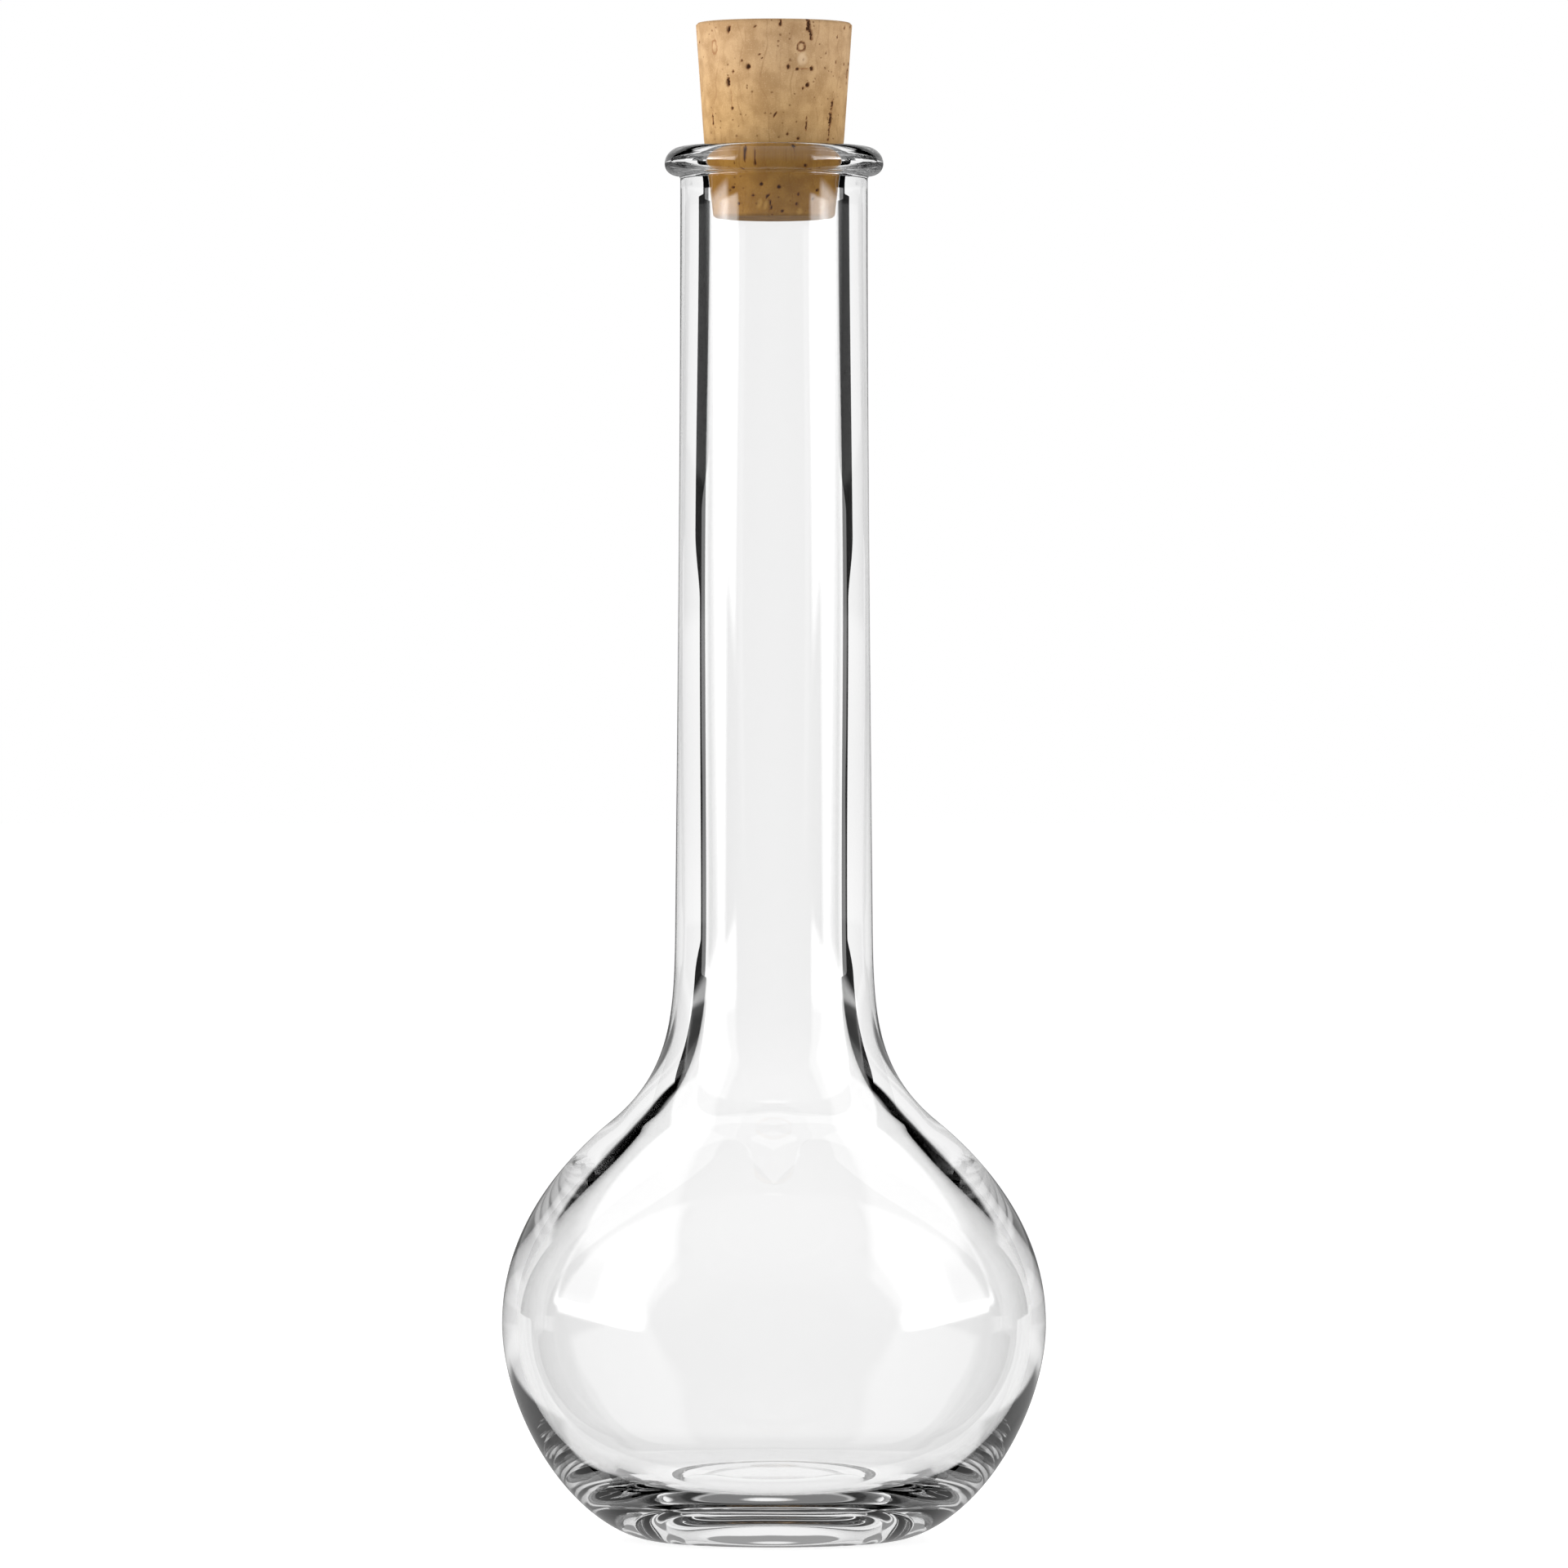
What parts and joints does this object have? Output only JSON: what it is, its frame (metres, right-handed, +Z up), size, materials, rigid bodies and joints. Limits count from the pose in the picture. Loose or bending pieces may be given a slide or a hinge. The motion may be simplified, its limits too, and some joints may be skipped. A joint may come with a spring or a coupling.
{
  "type": "round glass bottle with cork",
  "caption": "Clear glass bottle with a flattened round body, a long slim neck and a bead lip, closed by a tapered natural cork that pulls out.",
  "frame": {"origin": "centre of the standing ring, on the plane that the bottle stands on", "axes": "+Z up along the bottle's axis, out of the mouth; the bottle is round, so X and Y are free"},
  "size_m": [0.0766, 0.0766, 0.2136],
  "materials": {
    "clear_glass": "clear, fire-polished",
    "natural_cork": "matt natural cork with small dark pores"
  },
  "bodies": {
    "bottle": {"glass_bottle": "clear_glass"},
    "cork": {"cork_stopper": "natural_cork"}
  },
  "joints": [
    {"name": "cork_lift", "type": "slide", "parent": "bottle", "child": "cork", "axis": [0, 0, 1], "range_m": [0, 0.03]}
  ]
}
